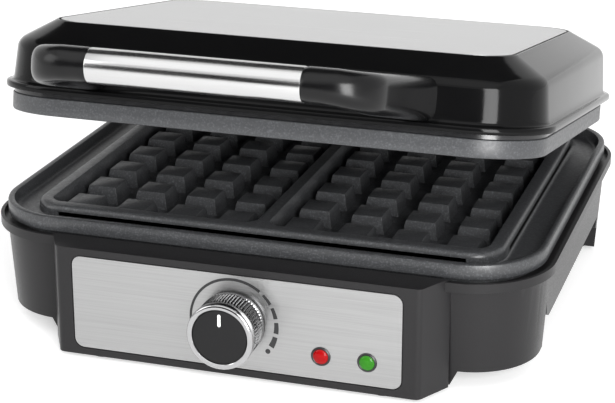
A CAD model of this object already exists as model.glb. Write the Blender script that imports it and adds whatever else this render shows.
import math

import bmesh
import bpy
import numpy as np
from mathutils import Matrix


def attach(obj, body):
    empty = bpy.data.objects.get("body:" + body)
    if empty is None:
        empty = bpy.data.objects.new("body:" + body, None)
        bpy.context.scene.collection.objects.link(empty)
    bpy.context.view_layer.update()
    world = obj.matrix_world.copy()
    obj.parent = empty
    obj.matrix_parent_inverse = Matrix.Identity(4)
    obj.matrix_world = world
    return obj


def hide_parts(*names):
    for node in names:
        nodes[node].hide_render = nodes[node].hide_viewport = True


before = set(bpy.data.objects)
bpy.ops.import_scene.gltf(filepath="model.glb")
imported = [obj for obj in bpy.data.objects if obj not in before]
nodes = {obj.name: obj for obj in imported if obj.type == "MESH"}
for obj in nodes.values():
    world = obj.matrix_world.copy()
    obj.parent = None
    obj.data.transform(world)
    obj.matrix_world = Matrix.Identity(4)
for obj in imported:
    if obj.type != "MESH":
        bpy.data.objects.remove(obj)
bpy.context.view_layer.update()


# Base housing: the shell that stands on the table and carries the lower plate.
# It is injection moulded in dark grey polypropylene with a fine spark-eroded grain,
# and its walls lean in a little so that it leaves the mould.
def finish(name, colour, rough, metal=0.0, grain=400.0, stretch=(1, 1, 1), tint=0.1, swing=0.05, bump=0.0,
           coat=0.0, detail=4.0, shine=0.5):
    """Finish from one noise field on object coordinates, stretched along the grain of the material.
    Colour runs from (1 - tint) to (1 + tint) of its value, roughness from rough - swing to
    rough + swing, and the height of the grain is bump, in metres. Shine is the specular level, and
    coat the weight of a clear layer on top."""
    made = bpy.data.materials.new(name)
    made.use_nodes = True
    tree = made.node_tree
    shader = tree.nodes["Principled BSDF"]
    place = tree.nodes.new("ShaderNodeTexCoord")
    turn = tree.nodes.new("ShaderNodeMapping")
    noise = tree.nodes.new("ShaderNodeTexNoise")
    blend = tree.nodes.new("ShaderNodeMix")
    gloss = tree.nodes.new("ShaderNodeMapRange")
    turn.inputs["Scale"].default_value = stretch
    noise.inputs["Scale"].default_value = grain
    noise.inputs["Detail"].default_value = detail
    blend.data_type = "RGBA"
    blend.inputs["A"].default_value = (*[c * (1 - tint) for c in colour], 1)
    blend.inputs["B"].default_value = (*[c * (1 + tint) for c in colour], 1)
    gloss.inputs["From Min"].default_value = 0.3
    gloss.inputs["From Max"].default_value = 0.7
    gloss.inputs["To Min"].default_value = max(rough - swing, 0.02)
    gloss.inputs["To Max"].default_value = rough + swing
    tree.links.new(place.outputs["Object"], turn.inputs["Vector"])
    tree.links.new(turn.outputs["Vector"], noise.inputs["Vector"])
    tree.links.new(noise.outputs["Fac"], blend.inputs["Factor"])
    tree.links.new(noise.outputs["Fac"], gloss.inputs["Value"])
    tree.links.new(blend.outputs["Result"], shader.inputs["Base Color"])
    tree.links.new(gloss.outputs["Result"], shader.inputs["Roughness"])
    shader.inputs["Metallic"].default_value = metal
    shader.inputs["Specular IOR Level"].default_value = shine
    shader.inputs["Coat Weight"].default_value = coat
    shader.inputs["Coat Roughness"].default_value = 0.06
    if bump:
        relief = tree.nodes.new("ShaderNodeBump")
        relief.inputs["Distance"].default_value = bump
        relief.inputs["Strength"].default_value = 0.6
        tree.links.new(noise.outputs["Fac"], relief.inputs["Height"])
        tree.links.new(relief.outputs["Normal"], shader.inputs["Normal"])
    return made


def dress(material, *names):
    """Gives CAD nodes their finish in the slots of their own meshes."""
    for name in names:
        nodes[name].data.materials.clear()
        nodes[name].data.materials.append(material)


grained_base = finish("grained_base_plastic", (0.0125, 0.012, 0.0128), 0.36, grain=1500, tint=0.18,
                      swing=0.06, bump=0.00004, shine=0.27)


def eased_moulding(name, node, material, body, width):
    """Moulding with its sharp edges broken: the CAD mesh copied, its triangles merged and its flat faces
    joined, then every edge over 35 degrees rounded by a bevel of the width, in metres."""
    sharp = math.radians(35)
    mesh = nodes[node].data.copy()
    mesh.name = name
    mesh.transform(nodes[node].matrix_world)
    shape = bmesh.new()
    shape.from_mesh(mesh)
    bmesh.ops.remove_doubles(shape, verts=shape.verts, dist=0.000003)
    bmesh.ops.dissolve_limit(shape, angle_limit=math.radians(0.6), verts=shape.verts, edges=shape.edges)
    shape.to_mesh(mesh)
    shape.free()
    mesh.materials.clear()
    mesh.materials.append(material)
    mesh.shade_smooth()
    mesh.set_sharp_from_angle(angle=sharp)
    made = bpy.data.objects.new(name, mesh)
    bpy.context.collection.objects.link(made)
    round_off = made.modifiers.new("broken_edges", "BEVEL")
    round_off.width = width
    round_off.segments = 3
    round_off.limit_method = "ANGLE"
    round_off.angle_limit = sharp
    round_off.harden_normals = True
    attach(made, body)
    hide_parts(node)
    return made


eased_moulding("base_shell", "base_housing", grained_base, "base", 0.0007)


# Bottom cover and what is fixed to it: a flat moulded tray held by four screws, with
# rubber feet pressed into the legs and a rubber gland in the rear wall.
dress(finish("cover_plastic", (0.03, 0.03, 0.031), 0.55, grain=900, bump=0.00005), "bottom_cover")
dress(finish("foot_rubber", (0.02, 0.02, 0.02), 0.8, grain=1200, tint=0.25, bump=0.00006), "front_feet",
      "rear_feet")
dress(finish("gland_rubber", (0.018, 0.018, 0.018), 0.7, grain=1100, tint=0.2, bump=0.00005), "cord_gland")
zinc_screw = finish("zinc_plated_steel", (0.62, 0.62, 0.6), 0.32, 1.0, grain=1800, tint=0.12, swing=0.1)
dress(zinc_screw, "bottom_cover_screws", "lower_plate_screws", "lower_clamp_screws", "upper_clamp_screws",
      "upper_plate_screws", "lid_frame_screws", "handle_screws")
dress(finish("terminal_polyamide", (0.72, 0.7, 0.63), 0.5, grain=600, bump=0.00004), "terminal_block")


# Heating elements: tubular heaters bent to a hairpin, held on the plates by steel bars
# and backed by thin pressed reflectors; a thermal fuse lies beside the lower one.
dress(finish("heater_sheath", (0.2, 0.17, 0.15), 0.48, 1.0, grain=260, tint=0.35, swing=0.12, bump=0.00005),
      "lower_heating_element", "upper_heating_element")
dress(finish("clamp_bar_steel", (0.55, 0.55, 0.54), 0.38, 1.0, grain=500, stretch=(1, 8, 8), tint=0.12),
      "lower_heater_clamps", "upper_heater_clamps")
dress(finish("aluminised_sheet", (0.7, 0.7, 0.69), 0.3, 1.0, grain=160, tint=0.14, swing=0.1, bump=0.00003),
      "lower_reflector", "upper_reflector")
dress(finish("fuse_case", (0.68, 0.6, 0.42), 0.3, 1.0, grain=700, tint=0.1), "thermal_fuse")


# Control panel: a thin stainless sheet, brushed from side to side, bedded in the moulded
# box on the front of the base.
def brushed(name, colour, rough, stretch, bump=0.000012):
    """Stainless sheet brushed one way: noise of six octaves drawn out along the strokes."""
    return finish(name, colour, rough, 1.0, grain=1.0, stretch=stretch, tint=0.2, swing=0.08, bump=bump,
                  detail=6.0)


panel_steel = brushed("brushed_panel_steel", (0.385, 0.385, 0.385), 0.36, (22, 900, 2600))
dress(panel_steel, "control_panel_plate")


# Dial marks: the heat scale round the knob, printed on the steel in black ink. A fine line
# with a dot at its end leads over the top to four dashes that thicken towards the
# hottest setting and end in a larger dot.
MM = 0.001
PANEL_FACE = -101.5
KNOB_LEVEL = 26.0
DIAL_RADIUS, DASH_SPAN = 18.6, 15
INK_BACK, INK_FRONT = 0.02, -0.06


def skin(rings, loop=False):
    """Quads between neighbouring closed rings. Loop joins the last ring to the first. Without it, a ring
    drawn in to its middle closes each end."""
    if loop:
        rings = np.concatenate((rings, rings[:1]))
    else:
        ends = rings[[0, -1]]
        caps = np.broadcast_to(ends.mean(1, keepdims=True), ends.shape)
        rings = np.concatenate((caps[:1], rings, caps[1:]))
    rows, count = rings.shape[:2]
    index = np.arange(rows * count).reshape(rows, count)
    low, high = index[:-1], index[1:]
    quads = np.stack((low, np.roll(low, -1, 1), np.roll(high, -1, 1), high), -1)
    return rings.reshape(-1, 3), quads.reshape(-1, 4)


def piece(name, shells, material, body, slot, *replaced):
    """One mesh from closed shells of points in millimetres, its doubles merged and its faces turned
    outwards. It rides on the body and stands for the CAD nodes named."""
    counts = np.cumsum([0] + [len(points) for points, faces in shells])
    points = np.concatenate([points for points, faces in shells]) * MM
    faces = np.concatenate([faces + start for (_, faces), start in zip(shells, counts)])
    mesh = bpy.data.meshes.new(name)
    mesh.from_pydata(points.tolist(), [], faces.tolist())
    shape = bmesh.new()
    shape.from_mesh(mesh)
    bmesh.ops.remove_doubles(shape, verts=shape.verts, dist=0.000002)
    bmesh.ops.recalc_face_normals(shape, faces=shape.faces)
    shape.to_mesh(mesh)
    shape.free()
    mesh.shade_smooth()
    mesh.set_sharp_from_angle(angle=math.radians(38))
    mesh.materials.append(material)
    made = bpy.data.objects.new(name, mesh)
    bpy.context.collection.objects.link(made)
    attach(made, body)
    if replaced:
        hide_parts(*replaced)
    return made


def dial_stroke(start, end, width_start, width_end, steps=48):
    """Flat stroke on the panel from one clock angle to another, in degrees clockwise from the top: a
    band about the dial's radius whose width runs evenly from its start to its end, 0.08 mm thick."""
    share = np.linspace(0, 1, steps)
    turn = np.radians(start + (end - start) * share)
    half = (width_start + (width_end - width_start) * share) / 2
    inner, outer = DIAL_RADIUS - half, DIAL_RADIUS + half
    radii = np.stack((inner, outer, outer, inner), -1)
    depth = np.broadcast_to(PANEL_FACE + np.array((INK_BACK, INK_BACK, INK_FRONT, INK_FRONT)), radii.shape)
    return skin(np.stack((radii * np.sin(turn)[:, None], depth,
                          KNOB_LEVEL + radii * np.cos(turn)[:, None]), -1))


def dial_dot(clock, size):
    """Round printed dot of that diameter at a clock angle, 0.08 mm thick."""
    turn = np.linspace(0, 2 * math.pi, 24, endpoint=False)
    x = DIAL_RADIUS * math.sin(math.radians(clock)) + size / 2 * np.cos(turn)
    z = KNOB_LEVEL + DIAL_RADIUS * math.cos(math.radians(clock)) + size / 2 * np.sin(turn)
    return skin(np.stack([np.stack((x, np.full_like(x, PANEL_FACE + lift), z), -1)
                          for lift in (INK_BACK, INK_FRONT)]))


dial_ink = finish("dial_ink", (0.016, 0.016, 0.017), 0.5, grain=2500, tint=0.2, swing=0.08)
dial_line = dial_stroke(-98, 38, 1.0, 1.25)
dial_dashes = [dial_stroke(start, start + DASH_SPAN, 1.15 + 0.3 * number, 1.4 + 0.35 * number)
               for number, start in enumerate((44, 64, 84, 104))]
piece("dial_marks", [dial_line] + dial_dashes + [dial_dot(-96, 1.5), dial_dot(127, 2.2)], dial_ink, "base",
      "knob_black")


# Indicator lamps: clear moulded domes of red and green acrylic, each pressed into its
# hole behind the steel, with a neon bulb behind it and a dark rim round it.
def turned(radii, depths, x, z, count=48):
    """Surface turned about an axis along Y through (x, z): rings of the given radii at the given depths."""
    turn = np.linspace(0, 2 * math.pi, count, endpoint=False)
    radii, depths = np.asarray(radii, float)[:, None], np.asarray(depths, float)[:, None]
    return np.stack((x + radii * np.cos(turn), np.broadcast_to(depths, (len(radii), count)),
                     z + radii * np.sin(turn)), -1)


LAMP_LEVEL = 15.7
RED_X, GREEN_X = 37.5, 57.0
LENS_RADIUS, LENS_RISE, LENS_FLANGE = 3.4, 1.55, 4.7
FLANGE_BACK, FLANGE_FRONT, STEM_FOOT = -97.1, -99.6, -99.9


def lens(name, colour, x):
    """Dome lens: a flange behind the steel and a stem, closed by a quarter ellipse."""
    material = finish(name + "_acrylic", colour, 0.2, grain=300, tint=0.2, swing=0.05, shine=0.16)
    shader = material.node_tree.nodes["Principled BSDF"]
    shader.inputs["Emission Color"].default_value = (*colour, 1)
    shader.inputs["Emission Strength"].default_value = 0.16
    swell = np.linspace(0, math.pi / 2, 10)
    radii = np.concatenate(((LENS_FLANGE, LENS_FLANGE, LENS_RADIUS), LENS_RADIUS * np.cos(swell)))
    depths = np.concatenate(((FLANGE_BACK, FLANGE_FRONT, STEM_FOOT), PANEL_FACE - LENS_RISE * np.sin(swell)))
    dome = skin(turned(radii, depths, x, LAMP_LEVEL))
    return piece(name + "_dome", [dome], material, "base", name + "_lens", name + "_indicator_lens")


lens("red", (0.26, 0.0015, 0.0025), RED_X)
lens("green", (0.022, 0.15, 0.009), GREEN_X)
lamp_rim = finish("lamp_rim", (0.008, 0.008, 0.0085), 0.35, grain=900, tint=0.2)
RIM_RADII = (3.05, 3.1, 3.4, 3.95, 4.15, 4.15, 3.05)
RIM_DEPTHS = (-101.6, -101.95, -102.1, -101.95, -101.7, -101.4, -101.4)
piece("lamp_rims", [skin(turned(RIM_RADII, RIM_DEPTHS, x, LAMP_LEVEL), loop=True) for x in (RED_X, GREEN_X)],
      lamp_rim, "base", "knob_black")
dress(finish("lamp_glass", (0.85, 0.8, 0.74), 0.08, grain=200, tint=0.05, coat=0.5), "indicator_lamps")


# Thermostat and knob: the knob is a chromed ring with a knurled grip, closed in front by
# a matt black disc with a white pointer, pressed on the flat of the thermostat's shaft.
dress(finish("thermostat_case", (0.5, 0.5, 0.48), 0.4, 1.0, grain=350, tint=0.12), "thermostat_body")
dress(finish("turned_brass", (0.72, 0.55, 0.25), 0.28, 1.0, grain=900, tint=0.12), "thermostat_nut")
dress(finish("turned_shaft", (0.6, 0.6, 0.58), 0.3, 1.0, grain=900, stretch=(1, 6, 1), tint=0.1),
      "thermostat_shaft")
KNURL_TEETH = 64


def knob_rim(radius, depth, swell):
    """Closed ring turned about the knob's axis from a profile of radii and depths. Where the profile swells,
    the radius grows by the swell times a power of the cosine, once for each tooth."""
    turn = np.linspace(0, 2 * math.pi, KNURL_TEETH * 8, endpoint=False)
    tooth = (0.5 + 0.5 * np.cos(turn * KNURL_TEETH)) ** 0.7
    radii = np.array(radius)[:, None] + np.array(swell)[:, None] * tooth
    return skin(np.stack((radii * np.cos(turn), np.broadcast_to(np.array(depth)[:, None], radii.shape),
                          KNOB_LEVEL + radii * np.sin(turn)), -1), loop=True)


RING_RADII = (12.0, 13.35, 13.8, 14.1, 14.2, 14.2, 14.05, 13.6, 12.7, 12.1, 11.85, 11.8)
RING_DEPTHS = (-114.1, -114.1, -114.3, -114.7, -115.3, -117.2, -117.9, -118.35, -118.5, -118.45, -118.2,
               -117.5)
GRIP_RADII = (12.0, 13.2, 13.6, 13.6, 13.1, 13.1, 13.1, 13.1, 13.1, 13.1, 13.35, 12.0)
GRIP_DEPTHS = (-102.15, -102.15, -102.4, -103.6, -103.9, -104.5, -106.0, -110.0, -112.5, -113.6, -114.1,
               -114.1)
GRIP_SWELL = (0, 0, 0, 0, 0.17, 0.77, 0.85, 0.85, 0.85, 0.68, 0, 0)
knob_chrome = finish("chromed_knob", (0.42, 0.42, 0.425), 0.1, 1.0, grain=500, tint=0.05, swing=0.04)
front_ring = knob_rim(RING_RADII, RING_DEPTHS, np.zeros(len(RING_RADII)))
piece("knob_front_ring", [front_ring], knob_chrome, "knob", "knob_chrome", "knob_ring")
knurl_chrome = finish("chromed_knurl", (0.15, 0.15, 0.152), 0.14, 1.0, grain=700, tint=0.15, swing=0.04)
piece("knob_grip", [knob_rim(GRIP_RADII, GRIP_DEPTHS, GRIP_SWELL)], knurl_chrome, "knob", "knob_chrome")
FACE_RADII = (5.0, 11.7, 11.7, 11.45, 11.1, 6.0, 2.0)
FACE_DEPTHS = (-104.0, -104.0, -117.7, -118.05, -118.1, -118.02, -118.0)
knob_black = finish("matt_knob_face", (0.009, 0.009, 0.0095), 0.5, grain=1600, tint=0.2, bump=0.00003,
                    shine=0.2)
face_disc = skin(turned(FACE_RADII, FACE_DEPTHS, 0, KNOB_LEVEL, 96))
piece("knob_face", [face_disc], knob_black, "knob", "knob_black", "knob_hub")
POINTER_LOW, POINTER_HIGH, POINTER_HALF = 30.6, 36.0, 0.65


def rounded_rings(left, right, front, back, radius, steps=14):
    """Rounded rectangles, one for each row of the sizes given, walked anticlockwise: each corner is a
    quarter circle about a centre set in by the radius from both sides."""
    left, right, front, back, radius = np.broadcast_arrays(
        *[np.atleast_1d(np.asarray(size, float)) for size in (left, right, front, back, radius)])
    turn = np.linspace(0, math.pi / 2, steps + 1)
    corners = ((right - radius, front + radius, -1), (right - radius, back - radius, 0),
               (left + radius, back - radius, 1), (left + radius, front + radius, 2))
    return np.concatenate([np.stack((x[:, None] + radius[:, None] * np.cos(turn + quarter * math.pi / 2),
                                     y[:, None] + radius[:, None] * np.sin(turn + quarter * math.pi / 2)), -1)
                           for x, y, quarter in corners], axis=1)


def pointer_bar():
    """Raised bar on the knob's face: a rounded rectangle drawn up from the disc and rounded over its edge."""
    flat = rounded_rings(-POINTER_HALF, POINTER_HALF, POINTER_LOW, POINTER_HIGH, POINTER_HALF * 0.98, 6)[0]
    middle = flat.mean(0)
    depth = np.array((-117.9, -118.2, -118.32, -118.36))
    shrink = np.array((1, 1, 0.95, 0.86))
    rings = middle + (flat - middle) * shrink[:, None, None]
    depths = np.broadcast_to(depth[:, None], rings.shape[:2])
    return skin(np.stack((rings[..., 0], depths, rings[..., 1]), -1))


pointer_paint = finish("pointer_paint", (0.86, 0.86, 0.85), 0.4, grain=1500, tint=0.04)
piece("pointer_mark", [pointer_bar()], pointer_paint, "knob", "pointer_white", "knob_pointer")


# Baking plates: pressure die-cast aluminium with a charcoal non-stick coat. The lower one
# lies in the base with a raised rim, a run-off channel, a ridge and two fields of studs.
def stacked(outline, other, rows):
    """Rings of a stack. Each row is (out, share, level): the outline grown by out, drawn towards the
    other outline by the share, at its level. An outline is left, right, front, back, corner."""
    out, share, level = np.array(rows, float).T
    grow = np.array((-1, 1, -1, 1, 1))
    sizes = np.asarray(outline)[:, None] + (np.asarray(other) - np.asarray(outline))[:, None] * share
    flat = rounded_rings(*(sizes + grow[:, None] * out))
    return np.concatenate((flat, np.broadcast_to(level[:, None, None], flat.shape[:2] + (1,))), -1)


PLATE_MIDDLE = 16.0
RIDGE_HALF_X, RIDGE_HALF_Y, RIDGE_CORNER, RIDGE_ROUND = 104, 89.25, 14, 2.4
RIDGE = (-RIDGE_HALF_X, RIDGE_HALF_X, PLATE_MIDDLE - RIDGE_HALF_Y, PLATE_MIDDLE + RIDGE_HALF_Y, RIDGE_CORNER)
RIDGE_LEVEL, CAVITY_LEVEL = 56.4, 46.4
CAVITY_X, CAVITY_HALF_X, CAVITY_HALF_Y, CAVITY_CORNER = 50.0, 47.0, 82.25, 6.0
STUD_COLUMNS, STUD_ROWS, STUD_PITCH = 4, 7, 23.5
STUD_HALF, STUD_FLANK, STUD_HEIGHT = 8.05, 1.9, 7.5
WALL_START, WALL_RUN = 0.6, 2.6
BENT_FROM = 80


def inside(x, y, half_x, half_y, corner):
    """Distance in from the edge of a rounded rectangle about the origin, less than nothing outside it."""
    away_x, away_y = np.abs(x) - half_x + corner, np.abs(y) - half_y + corner
    out = np.hypot(np.maximum(away_x, 0), np.maximum(away_y, 0)) + np.minimum(np.maximum(away_x, away_y), 0)
    return corner - out


def eased(value):
    """Smooth step from 0 to 1."""
    value = np.clip(value, 0, 1)
    return value * value * (3 - 2 * value)


def baking_field():
    """Height over the ridge block on a grid whose lines crowd at the edges and, past a distance from the
    middle, are drawn in to follow the round corners. The ridge is a quarter round from its side, a cavity
    falls from it in a smooth step, and a stud stands in it as the lesser of a smooth step along X and one
    along Y."""
    edge = np.array((0, 0.25, 0.6, 1.1, 1.7, 2.4))
    flank = np.array((5.9, 6.3, 6.7, 7.1, 7.5, 7.9, 8.3))
    wall = np.array((-0.9, -0.5, 0, 0.4, 0.8, 1.2, 1.6, 2.1))
    columns = CAVITY_X + STUD_PITCH * (np.arange(STUD_COLUMNS) - (STUD_COLUMNS - 1) / 2)
    lines = np.concatenate((RIDGE_HALF_X - edge, CAVITY_X - CAVITY_HALF_X + wall,
                            CAVITY_X + CAVITY_HALF_X - wall,
                            (columns[:, None] + np.concatenate((-flank, flank, [0]))).ravel(), [0, 1]))
    x = np.unique(np.round(np.concatenate((lines, -lines)), 2))
    last_row = (STUD_ROWS - 1) / 2
    stud_rows = STUD_PITCH * (np.arange(STUD_ROWS) - last_row)
    lines = np.concatenate((RIDGE_HALF_Y - edge, CAVITY_HALF_Y - wall,
                            (stud_rows[:, None] + np.concatenate((-flank, flank, [0]))).ravel()))
    y = np.unique(np.round(np.concatenate((lines, -lines)), 2))
    x, y = np.meshgrid(x, y, indexing="ij")
    slope = np.clip((np.abs(y) - RIDGE_HALF_Y + RIDGE_CORNER) / RIDGE_CORNER, 0, 1)
    reach = RIDGE_HALF_X - RIDGE_CORNER + RIDGE_CORNER * np.sqrt(1 - slope ** 2)
    pull = np.clip((np.abs(x) - BENT_FROM) / (RIDGE_HALF_X - BENT_FROM), 0, 1)
    x = np.sign(x) * np.where(np.abs(x) > BENT_FROM, BENT_FROM + pull * (reach - BENT_FROM), np.abs(x))
    edge_in = np.clip(inside(x, y, RIDGE_HALF_X, RIDGE_HALF_Y, RIDGE_CORNER), 0, RIDGE_ROUND)
    ridge = RIDGE_LEVEL - RIDGE_ROUND + np.sqrt(RIDGE_ROUND ** 2 - (RIDGE_ROUND - edge_in) ** 2)
    field_x = np.abs(x) - CAVITY_X
    cavity_in = inside(field_x, y, CAVITY_HALF_X, CAVITY_HALF_Y, CAVITY_CORNER)
    fall = eased((cavity_in + WALL_START) / WALL_RUN)
    stud_x = np.abs((field_x / STUD_PITCH) % 1 - 0.5) * STUD_PITCH
    stud_y = np.abs(y - STUD_PITCH * np.clip(np.round(y / STUD_PITCH), -last_row, last_row))
    rise = np.minimum(eased((STUD_HALF - stud_x) / STUD_FLANK), eased((STUD_HALF - stud_y) / STUD_FLANK))
    depth = RIDGE_LEVEL - CAVITY_LEVEL - STUD_HEIGHT * rise
    level = np.where(fall > 0, RIDGE_LEVEL - depth * fall, ridge)
    return np.stack((x, y + PLATE_MIDDLE, np.minimum(level, ridge)), -1)


def solid_field(top, floor):
    """Closed block under a height field: the field, and the same grid laid flat at the floor's level with
    a wall between their edges."""
    low = top.copy()
    low[..., 2] = floor
    rows, count = top.shape[:2]
    index = np.arange(rows * count).reshape(rows, count)
    sheet = np.stack((index[:-1, :-1], index[1:, :-1], index[1:, 1:], index[:-1, 1:]), -1).reshape(-1, 4)
    border = np.concatenate((index[:, 0], index[-1, 1:], index[-2::-1, -1], index[0, -2:0:-1]))
    after, under = np.roll(border, -1), rows * count
    wall = np.stack((border, after, after + under, border + under), -1)
    return (np.concatenate((top.reshape(-1, 3), low.reshape(-1, 3))),
            np.concatenate((sheet, sheet[:, ::-1] + under, wall)))


def non_stick(name, colour, rough):
    """Sprayed charcoal coat: a fine orange-peel grain, with small pale flecks where a stretched noise
    passes its threshold."""
    made = finish(name, colour, rough, grain=700, tint=0.2, swing=0.07, bump=0.00005)
    tree = made.node_tree
    shader = tree.nodes["Principled BSDF"]
    fleck = tree.nodes.new("ShaderNodeTexNoise")
    fleck.inputs["Scale"].default_value = 1300
    fleck.inputs["Detail"].default_value = 1
    pick = tree.nodes.new("ShaderNodeMapRange")
    pick.inputs["From Min"].default_value = 0.5
    pick.inputs["From Max"].default_value = 0.8
    blend = tree.nodes.new("ShaderNodeMix")
    blend.data_type = "RGBA"
    blend.inputs["B"].default_value = (0.085, 0.088, 0.094, 1)
    base = shader.inputs["Base Color"].links[0].from_socket
    place = next(node for node in tree.nodes if node.type == "TEX_COORD")
    tree.links.new(place.outputs["Object"], fleck.inputs["Vector"])
    tree.links.new(fleck.outputs["Fac"], pick.inputs["Value"])
    tree.links.new(pick.outputs["Result"], blend.inputs["Factor"])
    tree.links.new(base, blend.inputs["A"])
    tree.links.new(blend.outputs["Result"], shader.inputs["Base Color"])
    return made


LOWER_RIM = (-120, 120, -85.5, 117.5, 32)
LOWER_FLOOR = 44.0
LOWER_ROWS = [(-4, 0, 47), (-4, 0, 49.5), (-1, 0, 49.5), (-0.3, 0, 49.75), (0, 0, 50.4), (0, 0, 52.7),
              (0, 0, 54.9), (-0.3, 0, 55.7), (-1, 0, 56), (-2.1, 0, 56), (-2.75, 0, 55.75), (-3, 0, 55.1),
              (-3.2, 0, 52.4), (-3.6, 0, 51.5), (-4.4, 0, 51.05), (-5.5, 0, 51), (1.8, 1, 51), (0.8, 1, 51.1),
              (0.2, 1, 51.5), (0, 1, 52.2), (0, 1, 54.05), (-1.5, 1, 54), (-1.5, 1, 47)]
lower_ring = skin(stacked(LOWER_RIM, RIDGE, LOWER_ROWS), loop=True)
charcoal_coat = non_stick("charcoal_non_stick", (0.034, 0.035, 0.037), 0.36)
piece("lower_plate_skin", [lower_ring, solid_field(baking_field(), LOWER_FLOOR)], charcoal_coat, "base",
      "non_stick", "lower_waffle_plate")


# Upper plate: the same casting turned over, its edge showing as a grey band under the lid.
# Pieces of the lid are worked out closed, then swung open on the hinge to their rest.
HINGE_Y, HINGE_Z, OPENING = 136.5, 62.0, math.radians(11)


def swung(points):
    """Turns points of the closed lid up about the hinge line by the opening angle."""
    y, z = points[..., 1] - HINGE_Y, points[..., 2] - HINGE_Z
    return np.stack((points[..., 0], HINGE_Y + y * math.cos(OPENING) + z * math.sin(OPENING),
                     HINGE_Z + z * math.cos(OPENING) - y * math.sin(OPENING)), -1)


def swung_shell(shell):
    """A shell of the lid at its rest."""
    return swung(shell[0]), shell[1]


UPPER_RIM = (-117, 117, -82.5, 114.5, 29)
UPPER_FACE, UPPER_BACK = 57, 69.4
UPPER_ROWS = [(-1.5, 1, 64.6), (-1.5, 1, 59.5), (0, 1, 59.4), (0, 1, 60.0), (0.2, 1, 60.35), (0.8, 1, 60.58),
              (-4.3, 0, 60.6), (-3.5, 0, 60.45), (-3.05, 0, 60.0), (-2.95, 0, 58.0), (-2.6, 0, 57.3),
              (-1.9, 0, 57), (-1, 0, 57), (-0.3, 0, 57.25), (0, 0, 57.9), (0, 0, 61), (0, 0, 64.3),
              (-0.3, 0, 64.6)]
upper_ring = skin(stacked(UPPER_RIM, RIDGE, UPPER_ROWS), loop=True)
turned_field = baking_field()
turned_field[..., 2] = UPPER_FACE + RIDGE_LEVEL - turned_field[..., 2]
pale_coat = non_stick("grey_non_stick", (0.043, 0.0445, 0.0475), 0.4)
piece("upper_plate_skin", [swung_shell(upper_ring), swung_shell(solid_field(turned_field, UPPER_BACK))],
      pale_coat, "lid", "non_stick", "upper_waffle_plate")


# Lid frame: a narrow black plastic collar between the upper plate and the lid. It is
# injection moulded and screwed up into the lid, and holds the plate.
dress(finish("frame_plastic", (0.012, 0.012, 0.013), 0.2, grain=500, tint=0.2, swing=0.04), "lid_frame")


# Lid housing: one glossy black moulding with a rounded bead round its foot, walls that
# lean in, a broad sloping facet and a shallow seat for the steel. Two arms reach back
# to the hinge and turn on its steel pins.
LID_WALL = (-117, 117, -82.5, 119.5, 29)
LID_EDGE = (-102.3, 102.3, -67.8, 96.8, 19.07)
LID_TAPER = math.tan(math.radians(1.1))
BEAD_LEVEL, SHOULDER_LEVEL, EDGE_LEVEL, LEAN = 69.8, 88.3, 97.3, 0.085
SHOULDER_DROP, SHOULDER_SHARE = 3.2, 0.2
HINGE_X, ARM_ROUND, ARM_HALF = 73.0, 8.0, 6.6


def lid_rows():
    """Rows of the lid's outside from the bead up: the bead and its fillet, the leaning wall, a shoulder
    drawn as a parabola between wall and facet, the facet, and the edge of the seat."""
    bead = [(-2.5, 0, 66.8), (2.2, 0, 66.8), (2.75, 0, 67.05), (3, 0, 67.6), (3, 0, 68.9), (2.75, 0, 69.5),
            (2.2, 0, 69.8), (1.2, 0, 69.87), (0.5, 0, 70.1), (0.1, 0, 70.6), (-0.12, 0, 71.4)]
    wall = [(-LEAN * (level - BEAD_LEVEL), 0, level) for level in (73, 76, 79, 82)]
    top = SHOULDER_LEVEL - BEAD_LEVEL
    foot = np.array((-LEAN * (top - SHOULDER_DROP), 0, SHOULDER_LEVEL - SHOULDER_DROP))
    corner = np.array((-LEAN * top, 0, SHOULDER_LEVEL))
    head = np.array((-LEAN * top, SHOULDER_SHARE,
                     SHOULDER_LEVEL + SHOULDER_SHARE * (EDGE_LEVEL - SHOULDER_LEVEL)))
    step = np.linspace(0, 1, 8)[:, None]
    shoulder = (1 - step) ** 2 * foot + 2 * step * (1 - step) * corner + step ** 2 * head
    facet = [(-LEAN * top, share, SHOULDER_LEVEL + share * (EDGE_LEVEL - SHOULDER_LEVEL))
             for share in (0.35, 0.5, 0.65, 0.8, 0.92)]
    seat = [(-LEAN * top, share, EDGE_LEVEL - drop)
            for share, drop in ((0.965, 0.24), (0.985, 0.07), (1.0, 0.0), (1.02, 0.1), (1.03, 0.8))]
    return np.concatenate((bead, wall, shoulder, facet, seat))


def lid_shell():
    """The lid's rings; the height of a row above the bead grows towards the hinge by the lid's taper."""
    roof = np.array([(-4, 0, 85.0), (-2.5, 0, 83.0)])
    rings = stacked(LID_WALL, LID_EDGE, np.concatenate((roof, lid_rows())))
    weight = np.clip((rings[..., 2] - BEAD_LEVEL) / (SHOULDER_LEVEL - BEAD_LEVEL), 0, 1)
    rings[..., 2] += weight * rings[..., 1] * LID_TAPER
    return skin(rings)


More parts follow.
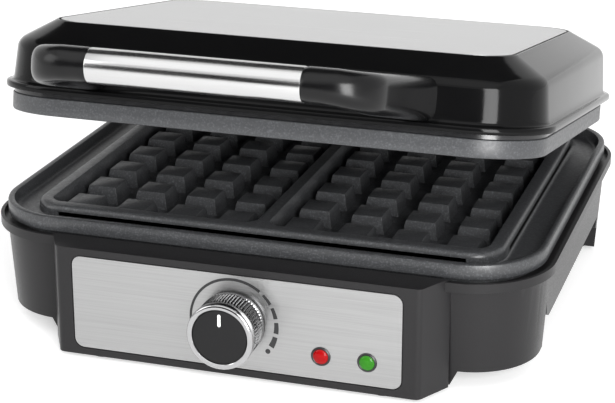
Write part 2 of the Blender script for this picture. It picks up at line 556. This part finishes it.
def hinge_arm(middle):
    """Arm of the lid in the shape of a drop: the hinge's round joined by its tangents to two points on
    the rear wall, carried across its width with rounded edges."""
    far = np.array(((113.5, 86.5), (113.5, 70.5)))
    away = far - (HINGE_Y, HINGE_Z)
    reach, facing = np.hypot(away[:, 0], away[:, 1]), np.arctan2(away[:, 1], away[:, 0])
    lean = np.arccos(ARM_ROUND / reach)
    turn = np.linspace(facing[0] - lean[0], facing[1] + lean[1] - 2 * math.pi, 40)
    knuckle = np.stack((HINGE_Y + ARM_ROUND * np.cos(turn), HINGE_Z + ARM_ROUND * np.sin(turn)), -1)
    drop = np.concatenate((knuckle, far[::-1]))
    centre = drop.mean(0)
    edge = ARM_HALF - np.array((0, 0.15, 0.6))
    across = np.concatenate((-edge, edge[::-1]))
    shrink = np.array((0.93, 0.975, 1, 1, 0.975, 0.93))
    flat = centre + (drop - centre) * shrink[:, None, None]
    along = np.broadcast_to(middle + across[:, None, None], flat.shape[:2] + (1,))
    return skin(np.concatenate((along, flat), -1))


gloss_black = finish("gloss_black_lid", (0.004, 0.004, 0.0042), 0.12, grain=40, tint=0.2, swing=0.025,
                     shine=0.12)
lid_shells = [swung_shell(shell) for shell in (lid_shell(), hinge_arm(-HINGE_X), hinge_arm(HINGE_X))]
piece("lid_shell", lid_shells, gloss_black, "lid", "lid_plastic", "lid_housing")
dress(finish("hinge_pin_steel", (0.55, 0.55, 0.54), 0.3, 1.0, grain=900, tint=0.1), "hinge_pins")


# Top sheet: thin stainless steel, brushed from side to side, cut with rounded corners and
# bonded into the seat on top of the lid.
dress(brushed("brushed_top_steel", (0.56, 0.56, 0.56), 0.34, (14, 1300, 1300)), "lid_top_plate")


# Handle: a polished steel tube over a steel rod, held at each end by a moulded bend that
# turns back to the lid and is screwed on from inside it.
HANDLE_Y, HANDLE_LEVEL, LEG_LEVEL, LEG_WALL_Y = -147.5, 87.0, 78.6, -82.5
TUBE_HALF, TUBE_RADIUS = 42.5, 6.88
BEND_X, BEND_RADIUS, BEND_END = 51.5, 13.0, -0.11
LEG_END_X, LEG_END_Y = 70.8, -73.0
MOUTH_DRAW, MOUTH_LENGTH = 0.06, 0.8
SINK_FROM, GROW_FROM, GROW_OVER = 12, 4, 30
BAR_THINNER, BAR_TALLER, LEG_TALLER, BAR_SQUARER = 0.3, 0.8, 1.2, 1.3


def handle_end(side):
    """Bend carried along its path: out along the tube, round a quarter turn, and back to the lid while it
    sinks evenly. Its section is a superellipse, a circle at the tube that grows to an upright
    rounded bar, with its mouth drawn in a little over the tube's end."""
    sleeve = np.stack((np.linspace(TUBE_HALF, BEND_X, 8), np.full(8, HANDLE_Y)), -1)
    turn = np.linspace(-math.pi / 2, BEND_END, 22)[1:]
    bend = np.stack((BEND_X + BEND_RADIUS * np.cos(turn), HANDLE_Y + BEND_RADIUS * (1 + np.sin(turn))), -1)
    share = np.linspace(0, 1, 30)[1:, None]
    leg = bend[-1] + (np.array((LEG_END_X, LEG_END_Y)) - bend[-1]) * share
    path = np.concatenate((sleeve, bend, leg))
    run = np.concatenate(([0], np.cumsum(np.hypot(*np.diff(path, axis=0).T))))
    way = np.gradient(path, run, axis=0)
    way /= np.hypot(way[:, :1], way[:, 1:])
    wall = np.interp(LEG_WALL_Y, path[:, 1], run)
    sink = np.clip((run - SINK_FROM) / (wall - SINK_FROM), 0, None)
    grow = eased((run - GROW_FROM) / GROW_OVER)
    mouth = 1 - MOUTH_DRAW * np.exp(-(run / MOUTH_LENGTH) ** 2)
    half_side = (TUBE_RADIUS - BAR_THINNER * grow) * mouth
    half_high = (TUBE_RADIUS + BAR_TALLER * grow + LEG_TALLER * sink) * mouth
    level = HANDLE_LEVEL - BAR_TALLER * grow + (LEG_LEVEL + BAR_TALLER - HANDLE_LEVEL) * sink
    power = (2 / (2 + BAR_SQUARER * grow))[:, None]
    angle = np.linspace(0, 2 * math.pi, 56, endpoint=False)
    across = half_side[:, None] * np.sign(np.cos(angle)) * np.abs(np.cos(angle)) ** power
    upward = half_high[:, None] * np.sign(np.sin(angle)) * np.abs(np.sin(angle)) ** power
    x = path[:, :1] + across * way[:, 1:]
    y = path[:, 1:] - across * way[:, :1]
    return swung_shell(skin(np.stack((side * x, y, level[:, None] + upward), -1)))


satin_black = finish("satin_black_handle", (0.004, 0.004, 0.0043), 0.24, grain=1800, tint=0.2, swing=0.02,
                     shine=0.24)
for side, node in ((-1, "handle_left_end"), (1, "handle_right_end")):
    piece(node + "_bend", [handle_end(side)], satin_black, "lid", "handle_plastic", node)


def steel_tube():
    """Tube along X: circles whose radius drops at the two ends into a small chamfer."""
    end = TUBE_HALF - np.array((0, 0.1, 0.5))
    drop = np.array((0.38, 0.13, 0.03))
    x = np.concatenate((-end, (-20, 0, 20), end[::-1]))[:, None]
    radius = TUBE_RADIUS - np.concatenate((drop, (0, 0, 0), drop[::-1]))[:, None]
    turn = np.linspace(0, 2 * math.pi, 128, endpoint=False)
    y, z = HANDLE_Y + radius * np.cos(turn), HANDLE_LEVEL + radius * np.sin(turn)
    return swung_shell(skin(np.stack((np.broadcast_to(x, y.shape), y, z), -1)))


tube_steel = finish("polished_tube_steel", (0.56, 0.56, 0.56), 0.2, 1.0, grain=1.0, stretch=(30, 1500, 1500),
                    tint=0.06, swing=0.05)
piece("handle_grip_tube", [steel_tube()], tube_steel, "lid", "tube_steel", "handle_tube")
dress(finish("rod_steel", (0.5, 0.5, 0.49), 0.4, 1.0, grain=500, stretch=(1, 6, 6), tint=0.1), "handle_rod")


# Studio: a white floor and world that the camera and the gloss see as a pale background,
# large soft lamps, black cards that only the gloss sees, and the camera of the photograph.
def background_rays(tree):
    """Socket that is 1 for rays that see the background: from the camera, off gloss or through glass."""
    path = tree.nodes.new("ShaderNodeLightPath")
    seen = path.outputs["Is Camera Ray"]
    for kind in ("Is Glossy Ray", "Is Transmission Ray"):
        either = tree.nodes.new("ShaderNodeMath")
        either.operation = "MAXIMUM"
        tree.links.new(seen, either.inputs[0])
        tree.links.new(path.outputs[kind], either.inputs[1])
        seen = either.outputs["Value"]
    return seen


floor_mesh = bpy.data.meshes.new("floor")
floor_mesh.from_pydata([(-4, -4, 0), (4, -4, 0), (4, 4, 0), (-4, 4, 0)], [], [(0, 1, 2, 3)])
white_floor = finish("white_floor", (0.86, 0.86, 0.86), 0.9, grain=30, tint=0.01, swing=0.02, shine=0.0)
floor_mesh.materials.append(white_floor)
floor = bpy.data.objects.new("floor", floor_mesh)
bpy.context.collection.objects.link(floor)
floor_tree = white_floor.node_tree
floor_shader = floor_tree.nodes["Principled BSDF"]
floor_shader.inputs["Emission Color"].default_value = (1, 1, 1, 1)
floor_glow = floor_tree.nodes.new("ShaderNodeMath")
floor_glow.operation = "MULTIPLY"
floor_far = floor_tree.nodes.new("ShaderNodeVectorMath")
floor_far.operation = "LENGTH"
floor_lift = floor_tree.nodes.new("ShaderNodeMapRange")
floor_lift.inputs["From Min"].default_value = 0.4
floor_lift.inputs["From Max"].default_value = 2.2
floor_lift.inputs["To Min"].default_value = 0.42
floor_lift.inputs["To Max"].default_value = 0.66
floor_place = next(node for node in floor_tree.nodes if node.type == "TEX_COORD")
floor_tree.links.new(floor_place.outputs["Object"], floor_far.inputs[0])
floor_tree.links.new(floor_far.outputs["Value"], floor_lift.inputs["Value"])
floor_tree.links.new(floor_lift.outputs["Result"], floor_glow.inputs[1])
floor_tree.links.new(background_rays(floor_tree), floor_glow.inputs[0])
floor_tree.links.new(floor_glow.outputs["Value"], floor_shader.inputs["Emission Strength"])

world = bpy.data.worlds.new("studio")
bpy.context.scene.world = world
world.use_nodes = True
sky = world.node_tree
sky_level = sky.nodes.new("ShaderNodeMapRange")
sky_level.inputs["To Min"].default_value = 0.62
sky_level.inputs["To Max"].default_value = 1.0
sky.links.new(background_rays(sky), sky_level.inputs["Value"])
sky.links.new(sky_level.outputs["Result"], sky.nodes["Background"].inputs["Strength"])
sky.nodes["Background"].inputs["Color"].default_value = (1, 1, 1, 1)


def soft_lamp(name, place, aim, width, height, power):
    """Rectangular lamp at a place, facing a point, both in metres."""
    data = bpy.data.lights.new(name, "AREA")
    data.shape = "RECTANGLE"
    data.size, data.size_y, data.energy = width, height, power
    made = bpy.data.objects.new(name, data)
    made.location = place
    way = np.subtract(aim, place)
    tilt, heading = math.acos(-way[2] / np.linalg.norm(way)), math.atan2(way[1], way[0])
    made.rotation_euler = (tilt, 0, heading - math.pi / 2)
    bpy.context.collection.objects.link(made)


soft_lamp("overhead", (0.0, -0.8, 1.6), (0.0, 0.0, 0.05), 2.2, 1.4, 6)
soft_lamp("right_strip", (0.62, -0.95, 0.35), (0.1, -0.08, 0.1), 0.42, 0.7, 17)
soft_lamp("left_panel", (-1.2, -0.8, 0.7), (0.0, 0.0, 0.05), 0.8, 0.8, 5)


def dark_card(name, corners):
    """Black studio card, seen only in gloss, which keeps the reflections in black and chrome deep."""
    mesh = bpy.data.meshes.new(name)
    mesh.from_pydata(corners, [], [(0, 1, 2, 3)])
    mesh.materials.append(finish(name + "_black", (0.01, 0.01, 0.01), 0.9, grain=20))
    made = bpy.data.objects.new(name, mesh)
    made.visible_camera = False
    made.visible_diffuse = False
    made.visible_shadow = False
    bpy.context.collection.objects.link(made)


dark_card("ceiling_card", [(-1.6, 1.5, 1.25), (0.5, 1.5, 1.25), (0.5, 0.1, 1.25), (-1.6, 0.1, 1.25)])
dark_card("front_card", [(-2.4, -2.2, 0.1), (1.2, -2.2, 0.1), (1.2, -2.2, 1.2), (-2.4, -2.2, 1.2)])

camera_data = bpy.data.cameras.new("camera")
camera_data.sensor_fit = "HORIZONTAL"
camera_data.sensor_width = 36
camera_data.lens = 107.94
camera = bpy.data.objects.new("camera", camera_data)
camera.location = (0.2398, -0.7515, 0.33)
camera.rotation_euler = (math.radians(70.02), 0, math.radians(17.74))
bpy.context.collection.objects.link(camera)
bpy.context.scene.camera = camera
bpy.context.scene.view_settings.view_transform = "Standard"
